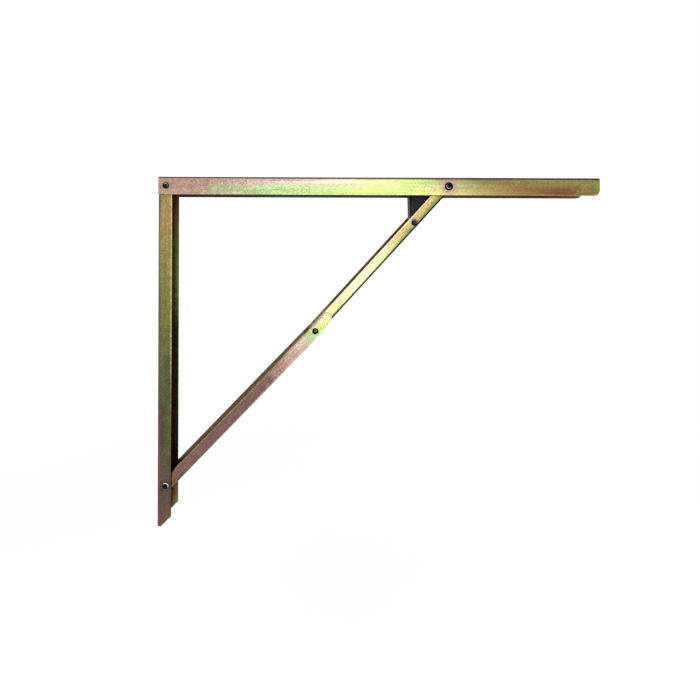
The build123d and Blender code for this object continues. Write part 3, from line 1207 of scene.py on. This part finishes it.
@dataclass(frozen=True)
class Studio:
    """White surroundings, a pale floor below the bracket, lamps and the camera."""

    floor_z: float = -0.42
    floor_side: float = 12.0
    floor_grey: float = 0.93
    floor_lift: float = 0.25
    floor_middle: float = 0.2
    fade: tuple[float, float] = (0.45, 1.1)
    ambient: float = 0.62
    lamps: tuple[Lamp, ...] = (
        Lamp("front_lamp", (0.32, -1.50, 0.10), (0.17, 0.0, 0.10), 0.7, 1.1),
        Lamp("key_lamp", (-0.40, -1.00, 1.35), (0.2, 0.0, 0.0), 1.0, 9.0),
        Lamp("fill_lamp", (1.30, 0.90, 0.80), (0.2, 0.0, 0.0), 1.0, 4.0),
    )
    camera_place: tuple[float, float, float] = (0.130, -0.447, 0.11035)
    camera_roll: float = -0.21
    lens: float = 24.53
    shift: tuple[float, float] = (0.07, -0.157)

    def sky(self) -> None:
        """White for what the camera and metal see, and a plain grey level for the light."""
        world = bpy.data.worlds.new("white_room")
        bpy.context.scene.world = world
        world.use_nodes = True
        board = Board(world.node_tree)
        board.tree.nodes.clear()
        light = board.node("ShaderNodeBackground")
        light.inputs["Strength"].default_value = self.ambient
        white = board.node("ShaderNodeBackground")
        white.inputs["Strength"].default_value = 1.0
        for background in (light, white):
            background.inputs["Color"].default_value = (1.0, 1.0, 1.0, 1.0)
        mix = board.node("ShaderNodeMixShader")
        for socket, value in zip(mix.inputs, (board.seen(), light.outputs[0], white.outputs[0])):
            board.feed(socket, value)
        end = board.node("ShaderNodeOutputWorld")
        board.feed(end.inputs["Surface"], mix.outputs[0])

    def floor(self) -> None:
        """Pale floor with the bracket's shadow, which fades to plain white further out.

        The lift is a little added light for the camera and metal only, so that the lit floor
        reads as white and the shadow stays.
        """
        half = self.floor_side / 2
        corners = [(-half, -half), (half, -half), (half, half), (-half, half)]
        mesh = bpy.data.meshes.new("floor")
        mesh.from_pydata([(x, y, self.floor_z) for x, y in corners], [], [(0, 1, 2, 3)])
        material = bpy.data.materials.new("pale_floor")
        material.use_nodes = True
        board = Board(material.node_tree)
        board.tree.nodes.clear()
        matt = board.node("ShaderNodeBsdfDiffuse")
        matt.inputs["Color"].default_value = (self.floor_grey,) * 3 + (1.0,)
        seen = board.seen()
        lift = board.node("ShaderNodeEmission")
        board.feed(lift.inputs["Strength"], board.times(seen, self.floor_lift))
        near = board.node("ShaderNodeAddShader")
        board.feed(near.inputs[0], matt.outputs[0])
        board.feed(near.inputs[1], lift.outputs[0])
        white = board.node("ShaderNodeEmission")
        white.inputs["Strength"].default_value = 1.0
        place = board.local(self.floor_middle, 0.0)
        flat = board.vector("MULTIPLY", place, (1.0, 1.0, 0.0)).outputs[0]
        far = board.times(board.smooth(board.length(flat), *self.fade), seen)
        mix = board.node("ShaderNodeMixShader")
        for socket, value in zip(mix.inputs, (far, near.outputs[0], white.outputs[0])):
            board.feed(socket, value)
        end = board.node("ShaderNodeOutputMaterial")
        board.feed(end.inputs["Surface"], mix.outputs[0])
        floor = new_piece("floor", mesh, material)

    def camera(self) -> None:
        """Camera square to the bracket's side, with the frame moved over by the shift."""
        data = bpy.data.cameras.new("photo_camera")
        data.lens = self.lens
        data.sensor_width = 36.0
        data.shift_x, data.shift_y = self.shift
        camera = bpy.data.objects.new("photo_camera", data)
        bpy.context.scene.collection.objects.link(camera)
        camera.location = self.camera_place
        camera.rotation_euler = Euler((radians(90.0), radians(self.camera_roll), 0.0))
        bpy.context.scene.camera = camera

    def build(self) -> list[str]:
        """Sets up the room and gives the lamps' names."""
        bpy.context.scene.view_settings.view_transform = "Standard"
        self.camera()
        self.sky()
        self.floor()
        return [lamp.build() for lamp in self.lamps]


# This bracket

WALL_PIVOT = (7.3 * MM, -114.0 * MM)
CORNER_PIVOT = (7.3 * MM, 159.5 * MM)
KNEE_PIVOT = (143.361 * MM, 27.079 * MM)
LEVER_PIVOT = (234.195 * MM, 126.950 * MM)
ARM_PIVOT = (263.8 * MM, 159.5 * MM)
LOWER_ANGLE = 46.0374
UPPER_ANGLE = 47.7129

# Each channel's runs hold the film's tints and painted light, paler where the highlight falls and
# darker away from it. The fold, rim and inside tints are painted highlight and painted shade.
CHANNELS = (
    Channel(
        node="wall_channel",
        x=0.0,
        z=-150.5 * MM,
        angle=90.0,
        length=316.2 * MM,
        web=0.0,
        open_edge=-12.4 * MM,
        half=13.2 * MM,
        finish=PassivatedSheet(
            name="wall_film",
            near_web=(
                (0.0, Tint.COCOA), (0.06, Tint.SLATE), (0.28, Tint.SLATE), (0.45, Tint.MOSS),
                (0.72, Tint.OLIVE), (0.90, Tint.TAN), (1.0, Tint.BRONZE),
            ),
            near_edge=(
                (0.0, Tint.COCOA), (0.10, Tint.SLATE), (0.30, Tint.MOSS), (0.48, Tint.MOSS),
                (0.70, Tint.OLIVE), (0.92, Tint.TAN), (1.0, Tint.TAN),
            ),
            # Painted highlight on the fold, turning to painted shade beyond the middle.
            fold_light_shade=Tint.ROSEWOOD,
            fold_light_shade_share=0.65,
            far_fold_light_shade=Tint.MOSS,
            rim=Tint.STRAW,
            edge_highlight_shares=(0.0, 0.55),
            inside_tint_and_shade=(
                (0.0, Tint.TAN), (0.10, Tint.BRONZE), (0.18, Tint.UMBER), (0.56, Tint.UMBER),
                (0.70, Tint.FERN), (0.82, Tint.FERN), (0.90, Tint.BRONZE), (1.0, Tint.RUST),
            ),
            fold_shade_depth=0.6 * MM,
            fold_shade_share=0.6,
            shift=(0.0, 0.0, 0.0),
            halos=(Halo(*WALL_PIVOT, 5.4 * MM, Tint.PLUM, 0.45),),
        ),
    ),
    Channel(
        node="arm_channel",
        x=0.5 * MM,
        z=167.5 * MM,
        angle=0.0,
        length=400.0 * MM,
        web=0.0,
        open_edge=-16.0 * MM,
        half=15.0 * MM,
        finish=PassivatedSheet(
            name="arm_film",
            near_web=(
                (0.0, Tint.CLAY), (0.10, Tint.CLAY), (0.18, Tint.ROSE), (0.32, Tint.BLUSH),
                (0.45, Tint.PALE), (0.55, Tint.LIME), (0.66, Tint.SAGE), (0.76, Tint.OLIVE),
                (0.90, Tint.OLIVE), (1.0, Tint.OLIVE),
            ),
            near_edge=(
                (0.0, Tint.CLAY), (0.08, Tint.CLAY), (0.15, Tint.SAGE), (0.30, Tint.MINT),
                (0.44, Tint.LIME), (0.56, Tint.LIME), (0.65, Tint.STRAW), (0.72, Tint.KHAKI),
                (0.82, Tint.BRONZE), (0.90, Tint.RUST), (0.98, Tint.OLIVE),
            ),
            # Painted highlight along the arm's folds.
            fold_light_shade=Tint.BLUSH,
            fold_light_shade_share=0.30,
            inside_tint_and_shade=(
                (0.0, Tint.UMBER), (0.55, Tint.UMBER), (0.75, Tint.RUST), (1.0, Tint.RUST),
            ),
            fold_shade_depth=1.9 * MM,
            fringe=Tint.ROSEWOOD,
            fringe_share=0.55,
            rim=Tint.STRAW,
            edge_highlight_shares=(0.1, 0.25),
            shift=(0.31, 0.12, 0.57),
            halos=(
                Halo(*ARM_PIVOT, 8.0 * MM, Tint.CLAY, 0.75),
                Halo(*CORNER_PIVOT, 5.2 * MM, Tint.OLIVE, 0.5),
            ),
        ),
    ),
    Channel(
        node="lower_link",
        x=WALL_PIVOT[0],
        z=WALL_PIVOT[1],
        angle=LOWER_ANGLE,
        length=215.5 * MM,
        web=5.5 * MM,
        open_edge=-5.3 * MM,
        half=11.4 * MM,
        finish=PassivatedSheet(
            name="lower_link_film",
            near_web=(
                (0.0, Tint.MAUVE), (0.60, Tint.MAUVE), (0.74, Tint.CLAY), (0.83, Tint.BLUSH),
                (0.88, Tint.MINT), (0.95, Tint.PALE), (1.0, Tint.PALE),
            ),
            near_edge=(
                (0.0, Tint.COCOA), (0.12, Tint.MAUVE), (0.60, Tint.MAUVE), (0.72, Tint.CLAY),
                (0.82, Tint.ROSE), (0.90, Tint.MINT), (0.97, Tint.LIME), (1.0, Tint.STRAW),
            ),
            # Painted highlight along the lower link's fold.
            fold_light_shade=Tint.TAN,
            fold_light_shade_share=0.5,
            rim=Tint.ROSE,
            edge_highlight_shares=(0.2, 0.35),
            shift=(0.83, 0.41, 0.19),
            inside_tint_and_shade=((0.0, Tint.UMBER), (1.0, Tint.COCOA)),
            back=Tint.SLATE,
            glancing=(0.34, 0.30, 0.24, 1.0),
            fold_shade_depth=0.5 * MM,
            fold_shade_share=0.5,
        ),
    ),
    Channel(
        node="upper_link",
        x=KNEE_PIVOT[0],
        z=KNEE_PIVOT[1],
        angle=UPPER_ANGLE,
        length=184.4 * MM,
        web=-4.1 * MM,
        open_edge=5.4 * MM,
        half=9.6 * MM,
        finish=PassivatedSheet(
            name="upper_link_film",
            near_web=(
                (0.0, Tint.STRAW), (0.15, Tint.LIME), (0.32, Tint.PALE), (0.52, Tint.LIME),
                (0.66, Tint.FERN), (0.85, Tint.FERN), (1.0, Tint.OLIVE),
            ),
            near_edge=(
                (0.0, Tint.STRAW), (0.3, Tint.PALE), (0.52, Tint.PALE), (0.64, Tint.APRICOT),
                (0.84, Tint.APRICOT), (0.93, Tint.STRAW), (1.0, Tint.KHAKI),
            ),
            # Painted shade along the upper link's folds.
            fold_light_shade=Tint.MOSS,
            fold_light_shade_share=0.7,
            rim=Tint.PALE,
            edge_highlight_shares=(0.7, 0.7),
            shift=(0.52, 0.77, 0.08),
            inside_tint_and_shade=(
                (0.0, Tint.CLAY), (0.10, Tint.CLAY), (0.15, Tint.UMBER), (1.0, Tint.UMBER),
            ),
            fold_shade_depth=1.7 * MM,
            fold_shade_share=0.96,
            halos=(Halo(*LEVER_PIVOT, 4.6 * MM, Tint.CLAY, 0.7),),
        ),
    ),
)

# Each rivet's bright lip is rubbed metal with a painted highlight on one side.
RIVETS = (
    Rivet(
        name="wall_pivot_rivet",
        node="wall_rivet",
        body="wall",
        x=WALL_PIVOT[0],
        z=WALL_PIVOT[1],
        half_length=13.2 * MM,
        cup_radius=1.5 * MM,
        cup_depth=0.45 * MM,
        finish=RivetSteel(
            "wall_rivet_steel", lip_share=0.82, lip=Tint.CHALK, rub_and_highlight=0.95, core=Tint.INK
        ),
    ),
    Rivet(
        name="knee_pivot_rivet",
        node="knee_rivet",
        body="lower_brace",
        x=KNEE_PIVOT[0],
        z=KNEE_PIVOT[1],
        half_length=11.4 * MM,
        cup_radius=1.7 * MM,
        cup_depth=0.4 * MM,
        finish=RivetSteel("knee_rivet_steel", lip_share=0.45, core=Tint.OLIVE, core_share=0.6),
    ),
    Rivet(
        name="lever_pivot_rivet",
        node="lever_rivet",
        body="upper_brace",
        x=LEVER_PIVOT[0],
        z=LEVER_PIVOT[1],
        half_length=9.6 * MM,
        cup_radius=1.4 * MM,
        cup_depth=0.3 * MM,
        finish=RivetSteel("lever_rivet_steel", lip_share=0.7, core=Tint.PLUM, core_share=0.5),
    ),
    Rivet(
        name="arm_pivot_rivet",
        node="arm_rivet",
        body="arm",
        x=ARM_PIVOT[0],
        z=ARM_PIVOT[1],
        half_length=15.0 * MM,
        head_radius=3.9 * MM,
        head=Head.RAISED,
        height=1.2 * MM,
        cup_radius=1.9 * MM,
        cup_depth=0.9 * MM,
        finish=RivetSteel(
            "arm_rivet_steel", lip_share=0.5, rub_and_highlight=0.8, highlight_from=230.0, core=Tint.INK
        ),
    ),
    Rivet(
        name="corner_pivot_heads",
        node="corner_heads",
        body="arm",
        x=CORNER_PIVOT[0],
        z=CORNER_PIVOT[1],
        half_length=15.0 * MM,
        head_radius=3.0 * MM,
        head=Head.RAISED,
        height=0.8 * MM,
        cup_radius=1.3 * MM,
        cup_depth=0.5 * MM,
        finish=RivetSteel("corner_rivet_steel", lip_share=0.6, core=Tint.INK),
        through=False,
    ),
)


def main() -> None:
    """Builds the studio, dresses every node and makes the turned and coiled pieces."""
    logging.basicConfig(level=logging.INFO, format="%(name)s: %(message)s")
    LOG.info("studio: %s", ", ".join(Studio().build()))
    effects = SharedEffects(
        film=rolled_film_group(), places=sheet_places_group(), halo=halo_group()
    )
    for channel in CHANNELS:
        LOG.info("film on %s", channel.build(effects))
    LOG.info("coated %s", ReleaseLever(*LEVER_PIVOT, finish=BlackCoat()).build())
    bushes = PlainSteel("bush_steel", Tint.STEEL, Tint.BRONZE).material(effects)
    for node in ("arm_bushes", "corner_pin"):
        dress(node, bushes)
        LOG.info("steel on %s", node)
    for rivet in RIVETS:
        LOG.info("turned %s", rivet.build(effects))
    wire = PlainSteel("wire_steel", Tint.STEEL, Tint.MAUVE)
    spring = LeverSpring(*LEVER_PIVOT, link_angle=UPPER_ANGLE, finish=wire)
    LOG.info("wound %s", spring.build(effects))
    bpy.context.view_layer.update()


if __name__ == "__main__":
    main()
